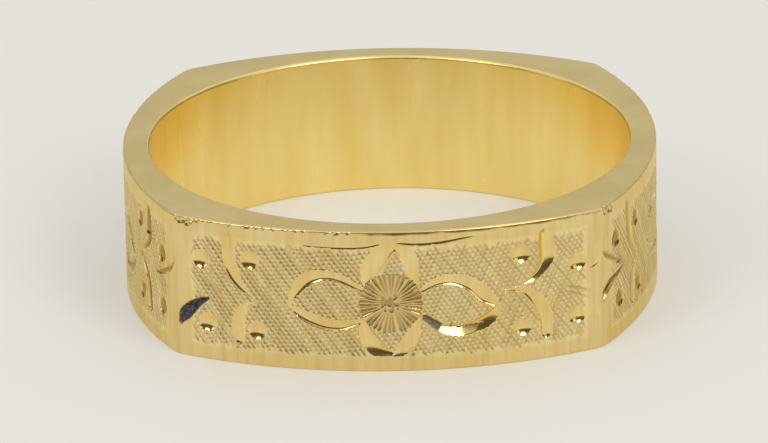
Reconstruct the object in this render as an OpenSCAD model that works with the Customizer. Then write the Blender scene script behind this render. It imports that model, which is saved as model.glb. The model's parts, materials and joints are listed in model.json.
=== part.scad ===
// A squared wedding band, cast or forged as one piece of yellow gold.
// The bore is round. Outside, four gently bowed faces meet at four upright
// edges, so the wall is thin at the middle of a face and thick at a corner.
// Each face carries the same engraved panel: a four-petalled flower with a
// cut sun for its heart, a leaf loop on each side, four scrolls and eight
// ball cuts. Every cut is left as an exact ball or ring-shaped groove.
//
// +Z runs along the finger. The origin is the centre of the bore, at half
// the band's width. The middle of the first face looks along -Y.

/* [Band] */
// Inside diameter, US ring size 8
bore_d = 18.14; // [17.3:0.02:18.6]
// Width of the band, measured along the finger
band_w = 5.5; // [5.2:0.1:7]
// Distance between the middles of two opposite faces
across_faces = 20.12; // [19.8:0.02:20.8]
// Radius of the bow of each face
face_r = 15.7; // [14.5:0.1:17]
// How far the four upright edges are polished back
corner_relief = 0.03; // [0.02:0.01:0.2]

/* [Rims] */
// Bevel along the outer edge of each rim
outer_bevel = 0.1; // [0.04:0.02:0.2]
// Bevel where each rim runs into the bore
bore_bevel = 0.2; // [0.1:0.05:0.3]

/* [Engraving] */
// Depth of the curved bright cuts
cut_depth = 0.09; // [0.04:0.01:0.14]
// Radius of the rounded edge of the graver
graver_r = 0.34; // [0.28:0.02:0.5]
// Radius of the ball-ended tool
ball_r = 0.6; // [0.45:0.05:0.8]
// Depth of a ball cut
ball_depth = 0.11; // [0.05:0.01:0.15]
// Diameter of the sun at the heart of the flower
sun_d = 2.36; // [1.8:0.02:2.6]
// Depth of the hollow that the sun is cut in
sun_depth = 0.06; // [0.03:0.01:0.1]

/* [Hidden] */
$fn = 96;

FACES = 4;
bore_r = bore_d / 2;
mid_r = across_faces / 2;
// Each face is part of a cylinder whose axis lies behind the bore's
bow_offset = face_r - mid_r;
// Where two neighbouring bows meet, as a distance along X and along Y
meet = (sqrt(2 * pow(face_r, 2) - pow(bow_offset, 2)) - bow_offset) / 2;
corner_r = meet * sqrt(2) - corner_relief;
// Overshoot that lets a cutting solid pass a surface
over = 0.5;

// Ball cuts of one quarter of a panel: [along the face, up the face]
BALLS = [[7.15, 1.2], [4.98, 1.4]];

// Curved cuts of one quarter of a panel:
// [along, up, direction of the bite, radius of the curve, half sweep, graver]
STROKES = [
    [2.45, 0.92, 95, 1.85, 52, 1.0],   // rim of the leaf loop
    [5.85, 0.95, -22, 2.2, 33, 1.2],   // scroll
    [0.80, 1.55, 35, 0.85, 75, 1.5]    // lobe of the petal
];

// A round bar along Z whose two outer edges are bevelled
module bevelled_bar(radius) {
    h = band_w / 2;
    rotate_extrude()
        polygon([
            [0, -h],
            [radius - outer_bevel, -h],
            [radius, -h + outer_bevel],
            [radius, h - outer_bevel],
            [radius - outer_bevel, h],
            [0, h]
        ]);
}

// The solid inside the four bowed faces, with its upright edges eased
module squared_blank() {
    intersection() {
        for_face(0) bevelled_bar(face_r);
        for_face(1) bevelled_bar(face_r);
        for_face(2) bevelled_bar(face_r);
        for_face(3) bevelled_bar(face_r);
        bevelled_bar(corner_r);
    }
}

// Turns its children, drawn for the first face, to face number i. Their
// origin becomes the axis of that face's bow.
module for_face(i) {
    rotate([0, 0, i * 360 / FACES])
        translate([0, bow_offset, 0])
            children();
}

// The round hole for the finger, opening out at both rims
module finger_bore() {
    h = band_w / 2;
    rotate_extrude()
        polygon([
            [0, -h - over],
            [bore_r + bore_bevel + over, -h - over],
            [bore_r, -h + bore_bevel],
            [bore_r, h - bore_bevel],
            [bore_r + bore_bevel + over, h + over],
            [0, h + over]
        ]);
}

// Moves its children onto a face: their origin goes to the point that lies
// `along` the bow and `up` the face, and their +Z points out of the metal
module on_face(along, up) {
    rotate([0, 0, along / face_r * 180 / PI])
        translate([0, -face_r, up])
            rotate([90, 0, 0])
                children();
}

// A round hollow left by a ball-ended tool
module ball_cut(radius, depth) {
    translate([0, 0, radius - depth])
        sphere(r = radius);
}

// A crescent groove: a ring-shaped cutter tipped over, so that it bites
// deepest in one direction and runs out of the metal at both ends
module bright_cut(direction, curve_r, half_sweep, tool_r) {
    rise = curve_r * (1 - cos(half_sweep));
    tip = asin(cut_depth / rise);
    rotate([0, 0, direction])
        translate([0, 0, tool_r - cut_depth])
            rotate([0, tip, 0])
                translate([-curve_r, 0, 0])
                    rotate_extrude()
                        translate([curve_r, 0])
                            circle(r = tool_r);
}

// One quarter of a panel, drawn to the right of and above its middle
module quarter_cuts(side, level) {
    for (b = BALLS)
        on_face(side * b[0], level * b[1])
            ball_cut(ball_r, ball_depth);
    for (s = STROKES)
        on_face(side * s[0], level * s[1])
            bright_cut(
                atan2(level * sin(s[2]), side * cos(s[2])),
                s[3], s[4], s[5] * graver_r
            );
}

// Everything that is cut into one face
module panel_cuts() {
    for (side = [-1, 1], level = [-1, 1])
        quarter_cuts(side, level);
    sun_r = (pow(sun_d / 2, 2) + pow(sun_depth, 2)) / (2 * sun_depth);
    on_face(0, 0)
        ball_cut(sun_r, sun_depth);
}

// The whole ring
module band() {
    color([0.85, 0.69, 0.38])
        difference() {
            squared_blank();
            finger_bore();
            for (i = [0 : FACES - 1])
                for_face(i) panel_cuts();
        }
}

band();
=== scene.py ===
# %% [markdown]
# # A squared wedding band, bright-cut in yellow gold
# The real ring is one piece of 14 ct gold. Its bore is round and polished, and its outside is filed to
# four gently bowed faces that meet at four upright edges. A hand engraver then cuts each face: first a
# fine hatch all over the middle, then a flower, two leaf loops, four scrolls and eight ball cuts.
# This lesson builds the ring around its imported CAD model, which fixes the place and the size.

# %% Load the frame
import json
import math

import bpy
import numpy as np
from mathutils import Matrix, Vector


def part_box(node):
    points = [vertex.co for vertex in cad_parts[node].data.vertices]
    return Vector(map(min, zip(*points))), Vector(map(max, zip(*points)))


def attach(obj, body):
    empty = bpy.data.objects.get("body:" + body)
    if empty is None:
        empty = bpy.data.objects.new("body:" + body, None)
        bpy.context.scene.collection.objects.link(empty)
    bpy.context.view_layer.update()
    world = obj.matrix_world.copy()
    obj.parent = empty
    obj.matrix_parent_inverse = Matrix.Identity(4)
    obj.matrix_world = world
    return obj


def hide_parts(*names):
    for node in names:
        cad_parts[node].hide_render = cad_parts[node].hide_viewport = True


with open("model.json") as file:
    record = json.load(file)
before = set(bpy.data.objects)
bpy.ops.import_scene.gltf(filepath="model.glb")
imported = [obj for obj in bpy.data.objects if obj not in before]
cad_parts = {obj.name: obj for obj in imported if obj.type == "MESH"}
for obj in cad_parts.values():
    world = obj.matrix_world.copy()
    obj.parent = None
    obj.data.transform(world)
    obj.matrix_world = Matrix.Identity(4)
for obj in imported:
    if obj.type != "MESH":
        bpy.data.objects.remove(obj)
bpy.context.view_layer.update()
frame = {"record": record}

# %% [markdown]
# Blender works in metres and a jeweller in millimetres. Every size below is written in millimetres, and
# one factor turns it to metres where a mesh is made. The outer sizes come from the frame, and the bore
# from the mount that the finger goes through, so the looks can't drift away from the CAD model.

# %% Sizes of the ring
MM = 0.001
low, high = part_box("band")
MID_R = high.x / MM  # from the axis to the middle of a face
HALF_W = high.z / MM  # half the width of the band
BORE_R = next(m["dims"]["r_mm"] for m in frame["record"]["mounts"] if m["name"] == "finger_bore")
FACE_R = 15.7  # radius of the bow of a face
BOW = FACE_R - MID_R  # how far behind the bore's axis the bow has its own
EASE = 1.0  # radius that the upright edges are eased to
RIM_EASE = 0.07  # radius of the outer edge of each rim
BORE_EASE = 0.13  # radius where a rim rolls into the bore
print(f"mid face {MID_R:.2f}, half width {HALF_W:.2f}, bore {BORE_R:.2f} mm")

# %% [markdown]
# A few small helpers are used all through the lesson. One clears the selection, because an operator acts
# on whatever is selected. One adds a shader node with its settings and links. One turns the usual hex
# colour, which is stored as a screen shows it, to the linear light that the renderer counts in. The last
# gives the scale at which a noise texture has features of a wanted size.


# %% Helpers
def nothing_selected():
    bpy.ops.object.select_all(action="DESELECT")


def linear(hex_colour):
    """A hex sRGB colour as linear red, green, blue and alpha."""
    parts = [int(hex_colour[i : i + 2], 16) / 255 for i in (1, 3, 5)]
    return [c / 12.92 if c <= 0.04045 else ((c + 0.055) / 1.055) ** 2.4 for c in parts] + [1]


def add(tree, kind, inputs=None, **settings):
    """Adds one node. inputs maps a socket's name or number to a value, or to the socket that feeds it."""
    node = tree.nodes.new("ShaderNode" + kind)
    for name, value in settings.items():
        setattr(node, name, value)
    for name, value in (inputs or {}).items():
        if isinstance(value, bpy.types.NodeSocket):
            tree.links.new(value, node.inputs[name])
        else:
            node.inputs[name].default_value = value
    return node


def spacing(*sizes):
    """The noise scale, along each axis, that puts features this many millimetres apart."""
    return tuple(round(1 / (size * MM)) for size in sizes)


print("a 0.5 mm pattern has a noise scale of", spacing(0.5)[0])


# %% [markdown]
# ## Camera
# A ring looks best from far away through a long lens, which makes its near and far rims almost the
# same size. The camera stands a little over 20 degrees up, and is turned and rolled by about a degree,
# as a hand-set tripod is.

# %% Camera
CAMERA_FAR = 322.5
CAMERA_UP = math.radians(20.8)
CAMERA_ROUND = math.radians(0.96)
CAMERA_ROLL = math.radians(-1.16)
CAMERA_LENS = 399.5
AIM_RIGHT, AIM_UP = -0.27, -0.61  # the ring sits a little right of and above the middle of the frame

camera_data = bpy.data.cameras.new("camera")
camera_data.lens = CAMERA_LENS
camera_data.clip_start = 0.01
camera = bpy.data.objects.new("camera", camera_data)
bpy.context.scene.collection.objects.link(camera)
camera.rotation_mode = "XYZ"
camera.rotation_euler = (math.pi / 2 - CAMERA_UP, 0, CAMERA_ROUND)
turned = camera.rotation_euler.to_matrix()
right, up, back = turned.col
aim = right * AIM_RIGHT + up * AIM_UP
camera.location = (aim + back * CAMERA_FAR) * MM
camera.rotation_euler = (turned @ turned.Rotation(CAMERA_ROLL, 3, "Z")).to_euler()
bpy.context.scene.camera = camera
print("camera at", [round(c, 4) for c in camera.location])

# %% [markdown]
# ## Stage
# Gold shows what is around it, so the stage is half of the finish. The ring stands on a big pale sheet
# that is lit faintly through from below, which keeps the shadow under the ring soft. A plain plane with
# a little emission does that.

# %% Floor
bpy.context.scene.view_settings.view_transform = "Standard"
FLOOR_SIZE = 900.0
FLOOR_GLOW = 0.26

nothing_selected()
bpy.ops.mesh.primitive_plane_add(size=FLOOR_SIZE * MM, location=(0, 0, -HALF_W * MM))
floor = bpy.context.object
floor.name = "floor"
sheet = bpy.data.materials.new("pale_translucent_sheet")
sheet.use_nodes = True
shader = sheet.node_tree.nodes["Principled BSDF"]
shader.inputs["Base Color"].default_value = linear("#C4C4BF")
shader.inputs["Roughness"].default_value = 0.7
shader.inputs["Emission Color"].default_value = linear("#FFFDF6")
shader.inputs["Emission Strength"].default_value = FLOOR_GLOW
floor.data.materials.append(sheet)
print("floor", FLOOR_SIZE, "mm square")

# %% [markdown]
# A jeweller's light tent is pale above and cooler behind. It is dark where the camera looks in and along
# the skirt where the cloth meets the table. Those dark gaps draw the lower edge of each cut. The tent is
# the world's own background, worked out from the direction of view: X is right, Y is away, Z is up.

# %% Tent
world = bpy.data.worlds.new("light_tent")
world.use_nodes = True
bpy.context.scene.world = world
tree = world.node_tree
tree.nodes.clear()
direction = add(tree, "TexCoord").outputs["Generated"]
axes = add(tree, "SeparateXYZ", {"Vector": direction}).outputs
# The mouth of the tent, where the camera looks in
front = add(tree, "MapRange", {0: axes["Y"], 1: 0.45, 2: 0.1, 3: 0.0, 4: 1.0}).outputs[0]
low_down = add(tree, "MapRange", {0: axes["Z"], 1: 0.62, 2: 0.42, 3: 0.0, 4: 1.0}).outputs[0]
front_gap = add(tree, "Math", {0: front, 1: low_down}, operation="MULTIPLY").outputs[0]
# The skirt, all round except straight behind
around = add(tree, "MapRange", {0: axes["Y"], 1: 0.88, 2: 0.74, 3: 0.0, 4: 1.0}).outputs[0]
skirt = add(tree, "MapRange", {0: axes["Z"], 1: 0.26, 2: 0.14, 3: 0.0, 4: 0.9}).outputs[0]
side_gap = add(tree, "Math", {0: around, 1: skirt}, operation="MULTIPLY").outputs[0]
gap = add(tree, "Math", {0: front_gap, 1: side_gap}, operation="MAXIMUM").outputs[0]
# The cloth, cooler low down behind the ring and brighter towards the top
behind = add(tree, "MapRange", {0: axes["Y"], 1: 0.4, 2: 0.8, 3: 0.0, 4: 1.0}).outputs[0]
cool = add(tree, "Math", {0: behind, 1: low_down}, operation="MULTIPLY").outputs[0]
cloth = add(tree, "Mix", {0: cool, 6: linear("#FFFDFA"), 7: linear("#EBECF0")}, data_type="RGBA")
tent = add(tree, "Mix", {0: gap, 6: cloth.outputs[2], 7: linear("#675C4C")}, data_type="RGBA")
daylight = add(tree, "MapRange", {0: axes["Z"], 1: 0.45, 2: 0.8, 3: 0.70, 4: 0.86}).outputs[0]
glow = add(tree, "Background", {"Color": tent.outputs[2], "Strength": daylight})
tree.links.new(glow.outputs[0], add(tree, "OutputWorld").inputs["Surface"])
print("tent of", len(tree.nodes), "nodes")

# %% [markdown]
# Four soft lamps stand round the front, all a little warm. Each ball cut is a small bowl that mirrors
# them as a spark, and the low ones lift the walls of the hatch.

# %% Lamps
LAMP_FAR = 400  # distance from the ring
LAMP_COLOUR = "#FFF8F0"


def lamp(name, azimuth, elevation, size, watts):
    """A square soft lamp that looks at the ring. azimuth 0 is the front, and grows to the right."""
    data = bpy.data.lights.new(name, "AREA")
    data.size = size * MM
    data.energy = watts
    data.color = linear(LAMP_COLOUR)[:3]
    obj = bpy.data.objects.new(name, data)
    bpy.context.scene.collection.objects.link(obj)
    round_, rise = math.radians(azimuth), math.radians(elevation)
    obj.location = (
        LAMP_FAR * MM * math.sin(round_) * math.cos(rise),
        -LAMP_FAR * MM * math.cos(round_) * math.cos(rise),
        LAMP_FAR * MM * math.sin(rise),
    )
    obj.rotation_euler = obj.location.to_track_quat("Z", "Y").to_euler()
    return obj


lamps = [
    lamp("lamp_left", -86, 13, 130, 0.07),
    lamp("lamp_left_high", -44, 35, 150, 0.24),
    lamp("lamp_right", 34, 35, 180, 0.45),
    lamp("lamp_right_low", 64, 14, 150, 0.07),
]
print("lamps", [one.name for one in lamps])

# %% [markdown]
# ## Finishes
# 14 ct yellow gold is gold alloyed with silver and copper, a little paler than fine gold. It is a
# metal, so its colour is the colour of its reflection, and it takes a Principled shader with the metallic
# value at 1 and the default IOR. One function starts every finish from that.


# %% Gold
def gold(name):
    """A gold material. Returns it with its node tree and its shader."""
    material = bpy.data.materials.new(name)
    material.use_nodes = True
    tree = material.node_tree
    shader = tree.nodes["Principled BSDF"]
    shader.inputs["Metallic"].default_value = 1.0
    return material, tree, shader


print("a pale yellow gold in linear light is", [round(part, 2) for part in linear("#F6DD9A")[:3]])


# %% [markdown]
# The bore is polished with a felt mandrel, which leaves faint upright hairlines, and the rims are worn by
# every table they were laid on, in no direction. To the eye both are mirrors that smear. One function
# makes both: a fine noise drives the roughness and a slight bump, and a broad one shifts the colour. On
# the bore the broad noise is stretched upright into faint bands of painted reflection, and the bore's gold
# is painted lighter than the rims' and the cuts', as painted light.


# %% Finish of the bore and the rims
BUMP_HEIGHT = 0.01 * MM  # how high the finest scratches stand


def drawn_gold(name, scale, cloud_scale, dark, light, smooth, rough):
    """Gold with fine drawn lines. The scales say how close lines and clouds lie along X, Y and Z."""
    material, tree, shader = gold(name)
    place = add(tree, "TexCoord").outputs["Object"]
    line_map = add(tree, "Mapping", {"Vector": place, "Scale": scale}).outputs[0]
    lines = add(tree, "TexNoise", {"Vector": line_map, "Scale": 1.0, "Detail": 3.0}).outputs["Fac"]
    cloud_map = add(tree, "Mapping", {"Vector": place, "Scale": cloud_scale}).outputs[0]
    cloud = add(tree, "TexNoise", {"Vector": cloud_map, "Scale": 1.0, "Detail": 2.0}).outputs["Fac"]
    paler = add(tree, "MapRange", {0: cloud, 1: 0.35, 2: 0.65, 3: 0.0, 4: 1.0}).outputs[0]
    tone = add(tree, "Mix", {0: paler, 6: linear(dark), 7: linear(light)}, data_type="RGBA").outputs[2]
    tree.links.new(tone, shader.inputs["Base Color"])
    finish = add(tree, "MapRange", {0: lines, 1: 0.3, 2: 0.7, 3: smooth, 4: rough}).outputs[0]
    tree.links.new(finish, shader.inputs["Roughness"])
    bump = add(tree, "Bump", {"Height": lines, "Strength": 0.15, "Distance": BUMP_HEIGHT}).outputs[0]
    tree.links.new(bump, shader.inputs["Normal"])
    return material


# The bore's two colours are a lighter gold, as painted light, and its upright colour bands are painted
# reflection streaks.
bore_lines, bore_reflection_bands = spacing(0.4, 0.4, 5), spacing(1.25, 1.25, 6.25)
bore_gold = drawn_gold("polished_bore_gold", bore_lines, bore_reflection_bands, "#F7DD88", "#FCE79C", 0.26, 0.38)
rim_lines, rim_clouds = spacing(0.4, 0.4, 0.4), spacing(2.38, 2.38, 2.38)
rim_gold = drawn_gold("worn_rim_gold", rim_lines, rim_clouds, "#E2CB82", "#EAD590", 0.30, 0.44)
print("finishes", bore_gold.name, rim_gold.name)

# %% [markdown]
# A panel has two finishes: the hatch scatters light, and the bright cuts, made with a burnished graver,
# are close to a mirror. Their colours are painted light: the hatch is painted paler, for the light its
# rough walls scatter, and the cuts deeper and more saturated, for light bounced between their walls. The
# deepest cuts are painted browner as painted shade, far more on the side faces than at the front, and so
# is the sun, most in its rays. The bottom of each hatch line and the plain margins are painted darker. A
# grey non-metal covers two spots: old polishing compound caked in one cut, and painted shade in another.
# The mesh will carry three attributes for these, polish, darkening and grey cover, so that each follows
# the cuts exactly. Upright wear streaks lie over everything.

# %% Colour of the panels
engraved, tree, shader = gold("bright_cut_14_ct_gold")
shader.inputs["Specular Tint"].default_value = linear("#F8EED0")
place = add(tree, "TexCoord").outputs["Object"]
polish = add(tree, "Attribute", attribute_name="polish").outputs["Fac"]
darkening = add(tree, "Attribute", attribute_name="darkening").outputs["Fac"]
compound_and_shade = add(tree, "Attribute", attribute_name="compound_and_shade").outputs["Fac"]
cloud_scale = spacing(2)[0]
cloud = add(tree, "TexNoise", {"Vector": place, "Scale": cloud_scale, "Detail": 3.0}).outputs["Fac"]
paler = add(tree, "MapRange", {0: cloud, 1: 0.35, 2: 0.65, 3: 0.0, 4: 1.0}).outputs[0]
# Painted light: the hatch's paler tint stands for the light its rough walls scatter, and the cuts' deeper,
# more saturated tint for light bounced between their walls. The polish picks between them.
hatch_scatter_sheen_tint = add(tree, "Mix", {0: paler, 6: linear("#F8E4A4"), 7: linear("#FCEBB2")}, data_type="RGBA")
cut_bounced_light_tint = add(tree, "Mix", {0: paler, 6: linear("#EFD388"), 7: linear("#F6DD9A")}, data_type="RGBA")
tints = {0: polish, 6: hatch_scatter_sheen_tint.outputs[2], 7: cut_bounced_light_tint.outputs[2]}
tint = add(tree, "Mix", tints, data_type="RGBA").outputs[2]
# The darkening mixes in a brown: painted shade in the deep cuts, most on the side faces, and in the sun,
# most in its rays, and a plain darkening at the bottom of the hatch lines and on the margins.
darkening_share = add(tree, "Math", {0: darkening, 1: 0.7}, operation="MULTIPLY").outputs[0]
darkened = add(tree, "Mix", {0: darkening_share, 6: tint, 7: linear("#A8874A")}, data_type="RGBA").outputs[2]
streak_scale = spacing(0.25, 0.25, 2.857)
streak_map = add(tree, "Mapping", {"Vector": place, "Scale": streak_scale}).outputs[0]
streaks = add(tree, "TexNoise", {"Vector": streak_map, "Scale": 1.0, "Detail": 3.0}).outputs["Fac"]
worn = add(tree, "MapRange", {0: streaks, 1: 0.45, 2: 0.75, 3: 0.0, 4: 0.35}).outputs[0]
streaked = add(tree, "Mix", {0: worn, 6: darkened, 7: linear("#C7A558")}, data_type="RGBA").outputs[2]
crumb_scale = spacing(1 / 9)[0]
crumbs = add(tree, "TexNoise", {"Vector": place, "Scale": crumb_scale, "Detail": 2.0}).outputs["Fac"]
crumbly = add(tree, "MapRange", {0: crumbs, 1: 0.35, 2: 0.70, 3: 0.0, 4: 1.0}).outputs[0]
# A mottled dark grey, not metal: caked polishing compound in one spot, and painted shade in the other.
compound_and_shade_colour = add(tree, "Mix", {0: crumbly, 6: linear("#26252B"), 7: linear("#66646E")}, data_type="RGBA")
covered = add(tree, "Mix", {0: compound_and_shade, 6: streaked, 7: compound_and_shade_colour.outputs[2]}, data_type="RGBA").outputs[2]
tree.links.new(covered, shader.inputs["Base Color"])
print("colour of the panels from", len(tree.nodes), "nodes")

# %% [markdown]
# The same attributes drive the gloss. A bright cut is smoother than the hatch, and the grey cover,
# compound in one cut and painted shade in another, is rough and isn't metal. Last comes the grain that
# drawing the gold has left all over it, as a bump. It is drawn a little coarser than it is, so that it
# shows.

# %% Gloss and grain of the panels
bare = add(tree, "Math", {0: 1.0, 1: compound_and_shade}, operation="SUBTRACT").outputs[0]
tree.links.new(bare, shader.inputs["Metallic"])
grain_scale = spacing(1 / 12, 1 / 12, 1 / 1.2)
grain_map = add(tree, "Mapping", {"Vector": place, "Scale": grain_scale}).outputs[0]
grain = add(tree, "TexNoise", {"Vector": grain_map, "Scale": 1.0, "Detail": 3.0}).outputs["Fac"]
rough = add(tree, "MapRange", {0: polish, 1: 0.0, 2: 1.0, 3: 0.30, 4: 0.16}).outputs[0]
dull = add(tree, "Math", {0: rough, 1: compound_and_shade}, operation="MAXIMUM").outputs[0]
tree.links.new(dull, shader.inputs["Roughness"])
bump = add(tree, "Bump", {"Height": grain, "Strength": 0.35, "Distance": BUMP_HEIGHT}).outputs[0]
tree.links.new(bump, shader.inputs["Normal"])
print("finish", engraved.name, "of", len(tree.nodes), "nodes")

# %% [markdown]
# ## The outline
# Seen from above, the outside is four arcs that bulge a little, with each corner eased by a small arc
# that is tangent to both. The position on it is measured as a real engraver would measure it, along the
# face from its middle, so a flower drawn 3 mm from the middle lands 3 mm from the middle.

# %% Outline of a face
ease_centre = (math.sqrt(2 * (FACE_R - EASE) ** 2 - BOW**2) - BOW) / 2  # along X and along -Y
turn_at_ease = math.atan2(ease_centre, ease_centre + BOW)
ARC_END = FACE_R * turn_at_ease  # where the face's own arc gives way to the eased edge
FACE_END = ARC_END + EASE * (math.pi / 4 - turn_at_ease)  # the middle of the upright edge


def outline(along):
    """The first face's outline, in mm: (x, y) and the outward normal, at distances from its middle."""
    side = np.sign(along)
    s = np.abs(along)
    turn = np.where(s < ARC_END, s / FACE_R, turn_at_ease + (s - ARC_END) / EASE)
    nx, ny = np.sin(turn), -np.cos(turn)
    x = np.where(s < ARC_END, FACE_R * nx, ease_centre + EASE * nx)
    y = np.where(s < ARC_END, BOW + FACE_R * ny, -ease_centre + EASE * ny)
    return side * x, y, side * nx, ny


print(f"half a face is {FACE_END:.2f} mm along, with the eased edge from {ARC_END:.2f}")

# %% [markdown]
# ## The blank
# The ring starts as a plain band turned on a lathe, so here a section is drawn and spun round the axis.
# The rim and the bore are its visible faces. Behind each engraved face the blank is cut back into a
# shallow recess, because the engraving needs a far finer mesh than the rest, and is laid in as four
# closed plates. The plates meet at the upright edges, where a real ring has a crease anyway.

# %% Turn the blank
SPIN_STEPS = 720
LIP = 0.3  # how far the recess stays clear of each rim
RECESS = 0.45  # how far the recess lies behind a face
ROUND_STEPS = 8
SUPPORT = 0.03  # a close row of points beside each rolled edge keeps the flats flat
TURNED_R = 12.0  # outside radius of the lathe-turned blank
SEAM_WELD = 0.002  # the spin's first and last sections are this close or closer


def quarter_round(centre_r, centre_z, radius, start):
    """Points on a quarter circle of the section, from start degrees on, counterclockwise."""
    turns = [math.radians(start + 90 * i / ROUND_STEPS) for i in range(ROUND_STEPS + 1)]
    return [(centre_r + radius * math.cos(t), centre_z + radius * math.sin(t)) for t in turns]


rim_r = TURNED_R - RIM_EASE
inner_top = quarter_round(BORE_R + BORE_EASE, HALF_W - BORE_EASE, BORE_EASE, 90)
upper = [
    (TURNED_R - RECESS, 0.0),
    (TURNED_R - RECESS, HALF_W - LIP),
    (rim_r, HALF_W - LIP),
    (rim_r, HALF_W),
    (BORE_R + BORE_EASE + SUPPORT, HALF_W),
    *inner_top,
    (BORE_R, HALF_W - BORE_EASE - SUPPORT),
    (BORE_R, 0.0),
]
section = upper + [(r, -z) for r, z in reversed(upper[1:-1])]

mesh = bpy.data.meshes.new("band_blank")
count = len(section)
mesh.from_pydata(
    [(r * MM, 0, z * MM) for r, z in section], [(i, (i + 1) % count) for i in range(count)], []
)
blank = bpy.data.objects.new("band_blank", mesh)
bpy.context.scene.collection.objects.link(blank)
nothing_selected()
blank.select_set(True)
bpy.context.view_layer.objects.active = blank
bpy.ops.object.mode_set(mode="EDIT")
bpy.ops.mesh.select_all(action="SELECT")
bpy.ops.mesh.spin(steps=SPIN_STEPS, angle=math.tau, center=(0, 0, 0), axis=(0, 0, 1))
bpy.ops.mesh.select_all(action="SELECT")
bpy.ops.mesh.remove_doubles(threshold=SEAM_WELD * MM)
bpy.ops.mesh.normals_make_consistent(inside=False)
bpy.ops.object.mode_set(mode="OBJECT")
print("blank", len(blank.data.vertices), "points")

# %% [markdown]
# Now the round blank is filed square. Every point outside the bore's rolled edge keeps its angle and its
# distance from the outside, and moves in with the outside to the four-sided outline. The flat rims then
# get the worn finish, and all else the polished one.


# %% File the blank square
def points_of(obj):
    """A mesh's points in mm, as rows of x, y, z."""
    points = np.empty(len(obj.data.vertices) * 3)
    obj.data.vertices.foreach_get("co", points)
    return points.reshape(-1, 3) / MM


def move_points(obj, points):
    obj.data.vertices.foreach_set("co", np.ravel(points) * MM)
    obj.data.update()


def outside_at(angle):
    """The outline at an angle round the ring: (x, y) and the outward normal."""
    quarter = np.round((angle + math.pi / 2) / (math.pi / 2))
    turn = quarter * math.pi / 2
    off = angle + math.pi / 2 - turn  # the angle from the middle of its own face
    side, off = np.sign(off), np.abs(off)
    on_arc = -BOW * np.cos(off) + np.sqrt(FACE_R**2 - (BOW * np.sin(off)) ** 2)
    reach = ease_centre * math.sqrt(2)
    on_ease = reach * np.cos(off - math.pi / 4) + np.sqrt(
        np.maximum(EASE**2 - (reach * np.sin(off - math.pi / 4)) ** 2, 0)
    )
    tangent_x, tangent_y, _, _ = outline(np.array([ARC_END]))
    eased = off > math.atan2(tangent_x[0], -tangent_y[0])
    radius = np.where(eased, on_ease, on_arc)
    x, y = side * radius * np.sin(off), -radius * np.cos(off)
    middle_x, middle_y = np.where(eased, side * ease_centre, 0.0), np.where(eased, -ease_centre, BOW)
    length = np.hypot(x - middle_x, y - middle_y)
    nx, ny = (x - middle_x) / length, (y - middle_y) / length
    c, s = np.cos(turn), np.sin(turn)
    return x * c - y * s, x * s + y * c, nx * c - ny * s, nx * s + ny * c


BLANK_CREASE = 40  # degrees past which an edge stays sharp
RIM_FLATNESS = 0.9  # how near to upright a rim's normal is

points = points_of(blank)
radius = np.hypot(points[:, 0], points[:, 1])
outer = radius > (BORE_R + TURNED_R) / 2
x, y, nx, ny = outside_at(np.arctan2(points[outer, 1], points[outer, 0]))
inset = TURNED_R - radius[outer]
points[outer, 0] = x - inset * nx
points[outer, 1] = y - inset * ny
move_points(blank, points)
bpy.ops.object.shade_smooth_by_angle(angle=math.radians(BLANK_CREASE))
blank.data.materials.append(bore_gold)
blank.data.materials.append(rim_gold)
for face in blank.data.polygons:
    face.material_index = int(abs(face.normal.z) > RIM_FLATNESS)
print("across corners", round(float(np.hypot(points[:, 0], points[:, 1]).max()) * 2, 2), "mm")

# %% [markdown]
# ## The engraver's cuts
# Every cut is described as an engraver would say it: where it starts, which way it bends, how wide the
# graver is sunk, and how it leans. A leaning graver leaves a wide gentle wall on one side and a narrow
# steep wall on the other, and the steep wall is the dark line along the edge of each petal. Places are
# in millimetres along and up the face from its middle. The shapes are free-hand, so they are lists of a
# few points each, and a smooth curve joins them.

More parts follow.
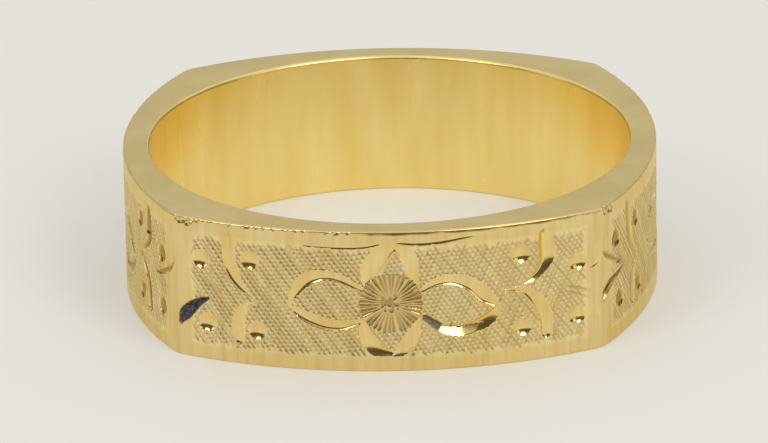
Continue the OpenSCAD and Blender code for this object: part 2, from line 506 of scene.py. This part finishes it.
# %% Curved cuts
# Each is (points, depth, lean, roundness). A point is (along, up, half width). The depth is at the
# widest place. Lean is from -1 to 1: where the deepest line lies, from the right edge of the cut to its
# left edge, to someone who follows it. Roundness is 1 for flat walls and 2 for a round-bottomed cut.
CURVED_CUTS = [
    # leaf loop on the left: upper stroke from the flower out, lower stroke from the tip back
    ([(-1.0, 0.50, 0.10), (-1.75, 0.90, 0.19), (-2.4, 1.00, 0.22), (-3.05, 0.82, 0.29),
      (-3.5, 0.25, 0.18), (-3.70, -0.28, 0.03)], 0.075, 0.4, 1.6),
    ([(-3.76, -0.20, 0.03), (-3.25, -0.55, 0.20), (-2.5, -0.86, 0.26), (-1.8, -0.95, 0.22),
      (-1.12, -0.80, 0.13)], 0.080, -0.4, 1.6),
    # leaf loop on the right, its lower stroke in two bites
    ([(1.2, 0.42, 0.10), (1.85, 0.74, 0.20), (2.5, 0.76, 0.25), (3.15, 0.48, 0.30),
      (3.65, -0.02, 0.30), (4.15, -0.44, 0.05)], 0.080, -0.45, 1.6),
    ([(4.18, -0.30, 0.06), (3.86, -0.78, 0.25), (3.35, -1.08, 0.27), (2.8, -1.18, 0.16)],
     0.125, -0.5, 1.3),
    ([(3.45, -1.08, 0.10), (3.1, -1.19, 0.21), (2.6, -1.27, 0.22), (2.0, -1.15, 0.20),
      (1.34, -0.68, 0.14)], 0.185, -0.55, 1.1),
    # scrolls on the left, upper then lower
    ([(-6.02, 2.12, 0.27), (-6.02, 1.45, 0.28), (-5.92, 0.95, 0.27), (-5.62, 0.42, 0.19),
      (-5.0, -0.16, 0.03)], 0.085, -0.45, 1.6),
    ([(-4.95, -0.25, 0.03), (-5.4, -0.46, 0.14), (-5.64, -0.85, 0.25), (-5.69, -1.3, 0.28),
      (-5.64, -1.78, 0.22)], 0.075, -0.35, 1.7),
    # scrolls on the right
    ([(5.95, 2.12, 0.28), (5.98, 1.75, 0.34), (6.02, 1.40, 0.36), (5.93, 1.05, 0.28),
      (5.74, 0.75, 0.18), (5.45, 0.50, 0.14), (5.08, 0.31, 0.05)], 0.18, -0.3, 1.4),
    ([(4.3, 0.20, 0.03), (4.98, 0.12, 0.13), (5.38, -0.13, 0.21), (5.72, -0.57, 0.27),
      (5.93, -1.05, 0.29), (5.96, -1.72, 0.24)], 0.10, -0.45, 1.6),
    # petals: the two lobes of the upper one, then of the lower one
    ([(0.28, 2.16, 0.12), (-0.25, 1.78, 0.36), (-0.62, 1.32, 0.38), (-0.74, 0.92, 0.28),
      (-0.80, 0.60, 0.12)], 0.10, -0.3, 1.7),
    ([(0.24, 2.20, 0.10), (0.72, 1.76, 0.32), (0.88, 1.30, 0.27), (0.94, 0.95, 0.20),
      (1.08, 0.66, 0.09)], 0.075, -0.25, 1.8),
    ([(-0.98, -0.78, 0.12), (-0.84, -1.35, 0.26), (-0.52, -1.80, 0.32), (0.04, -2.00, 0.14)],
     0.115, 0.3, 1.6),
    ([(1.05, -0.74, 0.12), (0.88, -1.32, 0.27), (0.54, -1.86, 0.28), (0.16, -2.12, 0.05)],
     0.060, -0.3, 1.8),
]
# Scoops that run out over the upright edges: on the front face, then on the others
FRONT_SCOOPS = [
    ([(-6.90, -0.34, 0.09), (-7.25, -0.52, 0.18), (-7.62, -0.82, 0.27), (-7.90, -1.12, 0.28),
      (-8.06, -1.40, 0.14)], 0.10, -0.2, 1.8),
    ([(7.78, -0.80, 0.03), (7.95, -1.02, 0.10), (8.06, -1.30, 0.09), (8.12, -1.6, 0.03)], 0.05, 0.4, 1.8),
    ([(7.68, 0.52, 0.03), (7.92, 0.62, 0.09), (8.12, 0.80, 0.10), (8.25, 1.04, 0.04)], 0.030, 0.4, 1.8),
]
SIDE_SCOOPS = [
    ([(-6.55, -0.08, 0.05), (-7.24, -0.23, 0.14), (-7.77, -0.40, 0.18), (-8.10, -0.68, 0.16),
      (-8.27, -1.10, 0.05)], 0.11, 0.2, 1.5),
    ([(-8.20, 1.05, 0.05), (-7.90, 0.70, 0.14), (-7.10, 0.27, 0.12), (-6.50, 0.15, 0.03)], 0.10, 0.3, 1.5),
    ([(8.20, 0.90, 0.05), (7.86, 0.42, 0.14), (7.15, 0.04, 0.12), (6.50, -0.02, 0.03)], 0.10, -0.3, 1.5),
]
print(len(CURVED_CUTS), "curved cuts,", len(FRONT_SCOOPS), "scoops in front,", len(SIDE_SCOOPS), "elsewhere")

# %% Slipped hatch lines
# Some hatch lines slipped and went deeper than their neighbours: four side by side, and two alone
SLIP_DEPTH = 0.04
slips = [
    [(6.45, 0.06, 0.03), (7.1, -0.10, 0.08), (7.75, -0.38, 0.04)],
    [(6.55, -0.16, 0.03), (7.1, -0.34, 0.08), (7.68, -0.60, 0.03)],
]
for number in range(4):
    over, down = 0.17 * number, 0.05 * number
    slips.append([
        (over - 7.25, 0.62 - down, 0.03), (over - 7.0, 0.28 - down, 0.06), (over - 6.72, -0.10 - down, 0.03)
    ])
print(len(slips), "slipped lines")

# %% Ball cuts, border, sun and grime
BALLS = [(-7.17, 1.18), (-5.19, 1.38), (-4.94, -1.36), (-6.93, -1.28),
         (4.97, 1.51), (7.22, 0.87), (5.01, -1.36), (7.18, -1.24)]
BALL_CUT_R = 0.38  # radius of the hollow at the surface
BALL_DEPTH = 0.125
# Thin lines above the flower, with the same points as a curved cut
BORDERS = [
    [(-3.6, 2.19, 0.02), (-2.4, 2.15, 0.09), (-1.4, 2.15, 0.11), (-0.75, 2.20, 0.10), (-0.1, 2.34, 0.03)],
    [(0.3, 2.34, 0.06), (1.1, 2.30, 0.12), (1.9, 2.33, 0.12), (2.7, 2.42, 0.09), (3.8, 2.54, 0.03)],
]
BORDER_DEPTH = 0.032
# Spots of a grey non-metal in a cut of the front face, the first polishing compound caked in the scoop and
# the second painted shade at the flower end of the right leaf: along, up, reach, thickness
COMPOUND_AND_SHADE_SPOTS = [(-7.5, -0.88, 0.75, 1.0), (1.60, -0.86, 0.33, 0.8)]
SUN = (0.08, -0.07)  # the heart of the flower
SUN_R = 1.17
SUN_RAYS = 35
SUN_HEART = 0.36  # radius of its stippled middle
print(len(BALLS), "ball cuts and a sun of", SUN_RAYS, "rays")


# %% [markdown]
# A cut's shape is worked out at every point of a fine grid. A smooth curve is drawn through the cut's
# few points, and a grid point's place across the cut gives how deep the graver went there.


# %% Depth of a curved cut
def smooth_path(corners, steps=14):
    """A Catmull-Rom curve through the given rows of numbers."""
    rows = np.array(corners, float)
    rows = np.vstack([2 * rows[0] - rows[1], rows, 2 * rows[-1] - rows[-2]])
    t = np.linspace(0, 1, steps, endpoint=False)[:, None]
    pieces = []
    for a, b, c, d in zip(rows, rows[1:], rows[2:], rows[3:]):
        pieces.append(b + 0.5 * t * (c - a + t * (2 * a - 5 * b + 4 * c - d + t * (3 * (b - c) + d - a))))
    return np.vstack([*pieces, rows[-2]])


def curved_cut(along, up, corners, depth, lean, roundness):
    """How deep one leaning cut is at each point, in mm. It is 0 outside the cut."""
    path = smooth_path(corners)
    widest = path[:, 2].max()
    result = np.zeros_like(along)
    near = np.flatnonzero(
        (along > path[:, 0].min() - widest) & (along < path[:, 0].max() + widest)
        & (up > path[:, 1].min() - widest) & (up < path[:, 1].max() + widest)
    )
    here = np.stack([along[near], up[near]], 1)
    best = np.full(len(near), np.inf)
    across = np.zeros(len(near))
    half = np.ones(len(near))
    for (x0, y0, w0), (x1, y1, w1) in zip(path, path[1:]):
        run = np.array([x1 - x0, y1 - y0])
        length = np.hypot(*run)
        if length < 1e-9:
            continue
        off = here - (x0, y0)
        t = np.clip(off @ run / length**2, 0, 1)
        gap = off - t[:, None] * run
        distance = np.hypot(gap[:, 0], gap[:, 1])
        closer = distance < best  # the nearest part of the curve counts
        best = np.where(closer, distance, best)
        left = np.sign(run[0] * gap[:, 1] - run[1] * gap[:, 0])
        across = np.where(closer, left * distance, across)
        half = np.where(closer, w0 + t * (w1 - w0), half)
    place_across = across / half
    wall = np.where(place_across > lean, 1 - lean, 1 + lean)
    share = np.clip(1 - (np.abs(place_across - lean) / wall) ** roundness, 0, 1)
    inside = np.abs(place_across) < 1
    result[near] = np.where(inside, depth * (half / widest) ** 0.7 * share, 0)
    return result


x, y, _ = CURVED_CUTS[0][0][3]
there = curved_cut(np.array([x]), np.array([y]), *CURVED_CUTS[0])
print(f"the first cut is {there[0]:.3f} mm deep on its curve, where it is widest")


# %% [markdown]
# The ground is a Florentine hatch: two families of fine V cuts that cross. No hand keeps them quite
# even, so each line has its own place, depth, slight turn and end.


# %% Depth of the hatch
HATCH_PITCH = 0.165
HATCH_DEPTH = 0.036
HATCH_FAMILIES = ((-53, 1.08), (64, 0.88))  # degrees from the length of the face, and weight of hand
HATCH_TOP, HATCH_BOTTOM, HATCH_END = 2.16, -2.17, 7.62
FADE = 0.2  # the graver is lifted over this far inside the border of the panel
HATCH_WALL = 0.46  # half width of a V cut, as a share of the pitch
HATCH_REACH = 20  # lines are laid over this breadth, more than a face needs
SHIFTED, SLANTED, OVERRUN = 0.08, 0.002, 0.05  # how unsteady the hand is in a line's place, turn and end
SINK = (0.72, 1.08)  # the lightest and the heaviest line, as a share of the depth


def v_cut(distance, half_width):
    """A V cut whose lips and bottom are a little rounded, from 0 at its edges to 1 at its bottom."""
    return 0.5 + 0.5 * np.cos(math.pi * np.clip(distance / half_width, -1, 1))


def hatch(along, up, edge, degrees, weight, rng):
    """Depth of one family of V cuts that lie at an angle, in mm. edge is how far inside the panel."""
    turn = math.radians(degrees)
    across = -along * math.sin(turn) + up * math.cos(turn)
    down = along * math.cos(turn) + up * math.sin(turn)
    lines = int(HATCH_REACH / HATCH_PITCH)
    shift = rng.normal(0, SHIFTED, lines) * HATCH_PITCH
    sink = rng.uniform(*SINK, lines) * HATCH_DEPTH * weight
    slant = rng.normal(0, SLANTED, lines)
    start = rng.uniform(0, 40, lines)
    overrun = rng.normal(0, OVERRUN, lines)
    nearest = np.round(across / HATCH_PITCH).astype(int) + lines // 2
    deepest = np.zeros_like(along)
    for step in (-1, 0, 1):
        line = np.clip(nearest + step, 0, lines - 1)
        centre = (line - lines // 2) * HATCH_PITCH + shift[line] + slant[line] * down
        pressure = 0.94 + 0.06 * np.sin(down * 2.3 + start[line])
        lifted = np.clip((edge + overrun[line]) / FADE, 0, 1)
        cut = sink[line] * pressure * lifted * v_cut(across - centre, HATCH_WALL * HATCH_PITCH)
        deepest = np.maximum(deepest, cut)
    return deepest


print(int(HATCH_REACH / HATCH_PITCH), "lines in each family")

# %% [markdown]
# The sun is the same V cut, drawn from the heart of the flower outwards in a shallow round disc, so that
# each ray widens as it goes. A ball cut is simpler: a ball-ended tool is turned in one place.

# %% Depth of the sun and of a ball cut
RAY_DEPTH = 0.25  # depth of a ray as a share of its width
RAY_WALL = 0.48  # half width of a ray, as a share of the pitch
DISC_DEPTH = 0.02
DISC_RIM = 0.2  # the disc slopes down over this far inside its edge


def sun(along, up, rng):
    """Depth of the hollow disc, and of the rays in it, in mm."""
    x, y = along - SUN[0], up - SUN[1]
    radius = np.hypot(x, y)
    turn = np.arctan2(y, x) / math.tau * SUN_RAYS
    ray = np.round(turn).astype(int) % SUN_RAYS
    wander = rng.normal(0, 0.10, SUN_RAYS)
    sink = rng.uniform(0.75, 1.1, SUN_RAYS)
    pitch = math.tau * np.maximum(radius, 0.05) / SUN_RAYS
    off = (turn - np.round(turn) - wander[ray]) * pitch
    grow = np.clip((radius - 0.6 * SUN_HEART) / (0.3 * SUN_HEART), 0, 1)
    rays = RAY_DEPTH * pitch * grow * sink[ray] * v_cut(off, RAY_WALL * pitch)
    disc = DISC_DEPTH * np.clip((SUN_R - radius) / DISC_RIM, 0, 1)
    return np.where(radius < SUN_R, disc, 0), np.where(radius < SUN_R, rays, 0)


def ball_cut(along, up, centre, cut_r, depth):
    """Depth of a hollow left by a ball-ended tool."""
    ball_r = (cut_r**2 + depth**2) / (2 * depth)
    distance = np.hypot(along - centre[0], up - centre[1])
    inside = np.sqrt(np.maximum(ball_r**2 - distance**2, 0)) - (ball_r - depth)
    return np.where(distance < cut_r, inside, 0)


bottom = ball_cut(np.zeros(1), np.zeros(1), (0, 0), BALL_CUT_R, BALL_DEPTH)
print(f"a ball cut is {bottom[0]:.3f} mm deep at its middle")


# %% [markdown]
# Years of wear show first on the top edge. Past some point it has rolled over, before that it is nicked,
# and the corner has taken the hardest knocks. A nick is a tiny ball cut.


# %% Wear of the top edge
NICKS = 44
CORNER_NICKS = 9
ROLL_START = 2.58  # height on the face where the rolled-over wear begins
ROLL_DEPTH = 0.024


def worn_edge(along, up, worn_from, rng):
    """Depth of the wear along the top edge: rolled over past worn_from, and nicked before it."""
    roll = ROLL_DEPTH * np.clip((up - ROLL_START) / (HALF_W - RIM_EASE - ROLL_START), 0, 1) ** 1.3
    waver = 0.8 + 0.2 * np.sin(along * 1.7 + rng.uniform(0, 6)) * np.sin(along * 4.1)
    depth = roll * waver * np.clip((along - worn_from) / 0.8, 0.15, 1)
    for _ in range(NICKS):
        centre = (rng.uniform(-FACE_END, worn_from), HALF_W - rng.uniform(0.0, 0.09))
        nick = ball_cut(along, up, centre, rng.uniform(0.05, 0.13), rng.uniform(0.01, 0.028))
        depth = np.maximum(depth, nick)
    for _ in range(CORNER_NICKS):
        centre = (rng.uniform(0.05, 0.85) - FACE_END, HALF_W - rng.uniform(0.05, 0.26))
        nick = ball_cut(along, up, centre, rng.uniform(0.08, 0.15), rng.uniform(0.045, 0.08))
        depth = np.maximum(depth, nick)
    return depth


print(NICKS, "nicks along a top edge and", CORNER_NICKS, "at its corner")


# %% [markdown]
# One function puts them together. A deeper cut takes away a shallower one, so the depth at a point is
# that of the deepest tool there. The same rule says which finish the point has: how polished it is, how
# much it is painted darker, which in the deep cuts and the sun is painted shade, and whether the grey cover
# lies on it, which is compound in one cut and painted shade in another. The front face is cut exactly as
# listed, and the others stray from the list by a few hundredths of a millimetre, as a hand does.


# %% Engrave one panel
FIRST_SEED = 100
WANDER = 0.035  # how far the cuts of the other faces stray
STIPPLE_DOTS = 34
STIPPLE_DEPTH = 0.03
FRONT_WORN_FROM = -1.4  # where the front face's top edge starts to be rolled over
CUT_EDGE = 0.003  # a point this deep in a bright cut has its polish
HATCH_GONE = 0.006  # a bright cut this deep has taken the hatch away
MARGIN_POLISH, SUN_POLISH = 0.6, 0.4
MARGIN_DARKENING = 0.22  # how much darker the plain margins are painted
CUT_SHADE = (0.03, 1.3)  # painted shade in the deepest cuts: on the front face, and on the others
SHADE_FROM, SHADE_OVER = 0.03, 0.06  # it starts this deep in a cut and is full this much deeper
SUN_SHADE, RAY_SHADE = 0.35, 0.8  # painted shade on the disc, and how much more there is in a ray
FULL_RAY = 0.022  # a ray this deep takes all its painted shade
COVER_FROM, COVER_OVER = 0.008, 0.02  # where the grey cover starts in a cut, and over how much more depth it covers


def engrave(along, up, number):
    """Depth in mm, and polish, darkening and grey cover from 0 up, at each point of a panel, 0 at the front.
    """
    rng = np.random.default_rng(FIRST_SEED + number)
    in_front = number == 0
    wander = 0.0 if in_front else WANDER
    edge = np.minimum.reduce([HATCH_TOP - up, up - HATCH_BOTTOM, HATCH_END - np.abs(along)])
    ground = np.maximum(*(hatch(along, up, edge, *family, rng) for family in HATCH_FAMILIES))
    for corners in slips:
        ground = np.maximum(ground, curved_cut(along, up, corners, SLIP_DEPTH, 0, 1.5))
    bright = np.zeros_like(along)
    for corners, depth, lean, roundness in CURVED_CUTS + (FRONT_SCOOPS if in_front else SIDE_SCOOPS):
        moved = [(x + rng.normal(0, wander), y + rng.normal(0, wander), w) for x, y, w in corners]
        bright = np.maximum(bright, curved_cut(along, up, moved, depth, lean, roundness))
    strokes = bright
    for corners in BORDERS:
        bright = np.maximum(bright, curved_cut(along, up, corners, BORDER_DEPTH, 0, 1.6))
    for x, y in BALLS:
        centre = (x + rng.normal(0, wander), y + rng.normal(0, wander))
        bright = np.maximum(bright, ball_cut(along, up, centre, BALL_CUT_R, BALL_DEPTH))
    disc, rays = sun(along, up, rng)
    for _ in range(STIPPLE_DOTS):
        turn, far = rng.uniform(0, math.tau), SUN_HEART * math.sqrt(rng.uniform(0, 1))
        centre = (SUN[0] + far * math.cos(turn), SUN[1] + far * math.sin(turn))
        rays = np.maximum(rays, ball_cut(along, up, centre, rng.uniform(0.05, 0.09), STIPPLE_DEPTH))
    in_sun = np.hypot(along - SUN[0], up - SUN[1]) < SUN_R
    bright = np.where(in_sun, 0, bright)
    hatched = np.where(in_sun, 0, ground * (1 - np.clip(bright / HATCH_GONE, 0, 1)))
    worn_from = FRONT_WORN_FROM if in_front else rng.uniform(-6, 6)
    edge_wear = worn_edge(along, up, worn_from, rng)
    depth = np.maximum.reduce([hatched, bright, disc + rays, edge_wear])

    # The polish also picks the painted tint: the cuts' deeper one at 1, the hatch's paler one at 0.
    polish = np.where(bright > CUT_EDGE, 1.0, MARGIN_POLISH * np.clip(0.8 - edge / FADE, 0, 1))
    polish = np.where(in_sun, SUN_POLISH, polish)

    # Painted darker: the margins a little, the hatch at the bottom of each line, and, as painted shade, the
    # sun, most in its rays, and the deepest cuts, far more on the side faces than at the front.
    plain = np.where(bright > CUT_EDGE, 0.0, MARGIN_DARKENING * np.clip(0.5 - edge / FADE, 0, 1))
    darkening = np.clip(np.maximum((hatched / HATCH_DEPTH) ** 1.5, plain), 0, 1)
    darkening = np.where(in_sun, SUN_SHADE + RAY_SHADE * np.clip(rays / FULL_RAY, 0, 1), darkening)
    darkening = np.maximum(darkening, CUT_SHADE[min(number, 1)] * np.clip((bright - SHADE_FROM) / SHADE_OVER, 0, 1))

    # The grey cover: real compound in the first spot, painted shade in the second.
    compound_and_shade = np.zeros_like(along)
    for x, y, reach, thick in COMPOUND_AND_SHADE_SPOTS if in_front else []:
        near = np.clip(1.3 - np.hypot(along - x, up - y) / reach, 0, 1)
        cover_share = thick * np.clip(near * 6, 0, 1)
        compound_and_shade = np.maximum(compound_and_shade, cover_share * np.clip((strokes - COVER_FROM) / COVER_OVER, 0, 1))
    return depth, polish, darkening, compound_and_shade


print("random seeds of the panels", [FIRST_SEED + number for number in range(4)])


# %% [markdown]
# Each plate starts as a flat grid primitive. Its columns run along the face, closer together where the
# hatch is, and its rows run up the face, over the rolled edge, down behind and back, so that the grid
# closes on itself like a flattened tube. The two ends are then filled, and the plate is a closed solid.

# %% Rows and columns of a plate
FINE = 0.0302  # spacing where there is engraving
COARSE = 0.05  # spacing elsewhere
EASED, WORN = 0.035, 0.02  # spacing on the eased upright edge, and where the top edge is worn
FINE_END = HATCH_END + 0.05
FINE_TOP = HATCH_TOP + 0.25


def spaced(start, stop, step):
    """Even places from start up to but not at stop, about a step apart."""
    return list(np.linspace(start, stop, max(1, round(abs(stop - start) / step)), endpoint=False))


half_columns = spaced(0, FINE_END, FINE) + spaced(FINE_END, ARC_END, COARSE)
half_columns += spaced(ARC_END, FACE_END, EASED) + [FACE_END]
columns = np.array([-s for s in reversed(half_columns[1:])] + half_columns)

flat = HALF_W - RIM_EASE
levels = spaced(-flat, HATCH_BOTTOM, COARSE) + spaced(HATCH_BOTTOM, FINE_TOP, FINE)
levels += spaced(FINE_TOP, ROLL_START, COARSE) + spaced(ROLL_START, flat, WORN) + [flat]
EDGE_STEPS = 4
roll = [math.radians(90 * i / EDGE_STEPS) for i in range(1, EDGE_STEPS + 1)]
# Rows of the section: (height, how far behind the face, lean of the normal, 1 where it is engraved)
rows = [(-flat - RIM_EASE * math.sin(a), RIM_EASE * (1 - math.cos(a)), -a, 1) for a in reversed(roll)]
rows += [(z, 0.0, 0.0, 1) for z in levels]
rows += [(flat + RIM_EASE * math.sin(a), RIM_EASE * (1 - math.cos(a)), a, 1) for a in roll]
rows += [(HALF_W - LIP, RIM_EASE, 0, 0), (HALF_W - LIP, RECESS, 0, 0)]
rows += [(LIP - HALF_W, RECESS, 0, 0), (LIP - HALF_W, RIM_EASE, 0, 0)]
rows = np.array(rows + [rows[0]])
print(len(columns), "columns and", len(rows), "rows:", 2 * len(columns) * len(rows), "triangles")


# %% [markdown]
# The grid's points are then moved to their rows and columns, bent round the ring's outline, sunk by the
# depth of the engraving and turned to their face. The engraving dies out just before each end, so that
# neighbouring plates meet in one clean line.


# %% Make the four plates
END_FADE = 0.06  # the engraving dies out this far before the end of a plate
PLATE_WELD = 0.001
PLATE_CREASE = 50  # degrees past which an edge stays sharp


def plate(number):
    """Engraved plate of face number, 0 at the front and on round the ring to the right."""
    nothing_selected()
    bpy.ops.mesh.primitive_grid_add(
        x_subdivisions=len(columns) - 1, y_subdivisions=len(rows) - 1, size=2, location=(0, 0, 0)
    )
    obj = bpy.context.object
    obj.name = obj.data.name = f"engraved_face_{number + 1}"
    grid = points_of(obj) * MM  # a flat grid from -1 to 1 in Blender's units
    column = np.round((grid[:, 0] + 1) / 2 * (len(columns) - 1)).astype(int)
    row = np.round((grid[:, 1] + 1) / 2 * (len(rows) - 1)).astype(int)
    along = columns[column]
    up, inset, lean, cut = rows[row].T
    x, y, nx, ny = outline(along)
    depth, polish, darkening, compound_and_shade = engrave(along, up, number)
    depth = depth * cut * np.clip((FACE_END - np.abs(along)) / END_FADE, 0, 1)
    x, y = x - nx * inset, y - ny * inset
    points = np.stack(
        [x - depth * nx * np.cos(lean), y - depth * ny * np.cos(lean), up - depth * np.sin(lean)], 1
    )
    turn = number * math.pi / 2
    c, s = math.cos(turn), math.sin(turn)
    points[:, :2] = points[:, :2] @ np.array([[c, s], [-s, c]])
    move_points(obj, points)
    for name, values in (("polish", polish), ("darkening", darkening * cut), ("compound_and_shade", compound_and_shade * cut)):
        attribute = obj.data.attributes.new(name, "FLOAT", "POINT")
        attribute.data.foreach_set("value", values.astype(np.float32))
    bpy.ops.object.mode_set(mode="EDIT")
    bpy.ops.mesh.select_all(action="SELECT")
    bpy.ops.mesh.remove_doubles(threshold=PLATE_WELD * MM)
    bpy.ops.mesh.select_all(action="SELECT")
    bpy.ops.mesh.fill_holes(sides=0)
    bpy.ops.mesh.select_all(action="SELECT")
    bpy.ops.mesh.normals_make_consistent(inside=False)
    bpy.ops.object.mode_set(mode="OBJECT")
    bpy.ops.object.shade_smooth_by_angle(angle=math.radians(PLATE_CREASE))
    obj.data.materials.append(engraved)
    return obj


plates = [plate(number) for number in range(4)]
print("faces of each plate", [len(one.data.polygons) for one in plates])

# %% [markdown]
# ## Hand over
# The blank and the plates all ride on the ring's one body, and together they stand for its CAD solid.

# %% Finish
for piece in (blank, *plates):
    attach(piece, "root")
    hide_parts("band")
print("pieces", [blank.name, *(one.name for one in plates)])
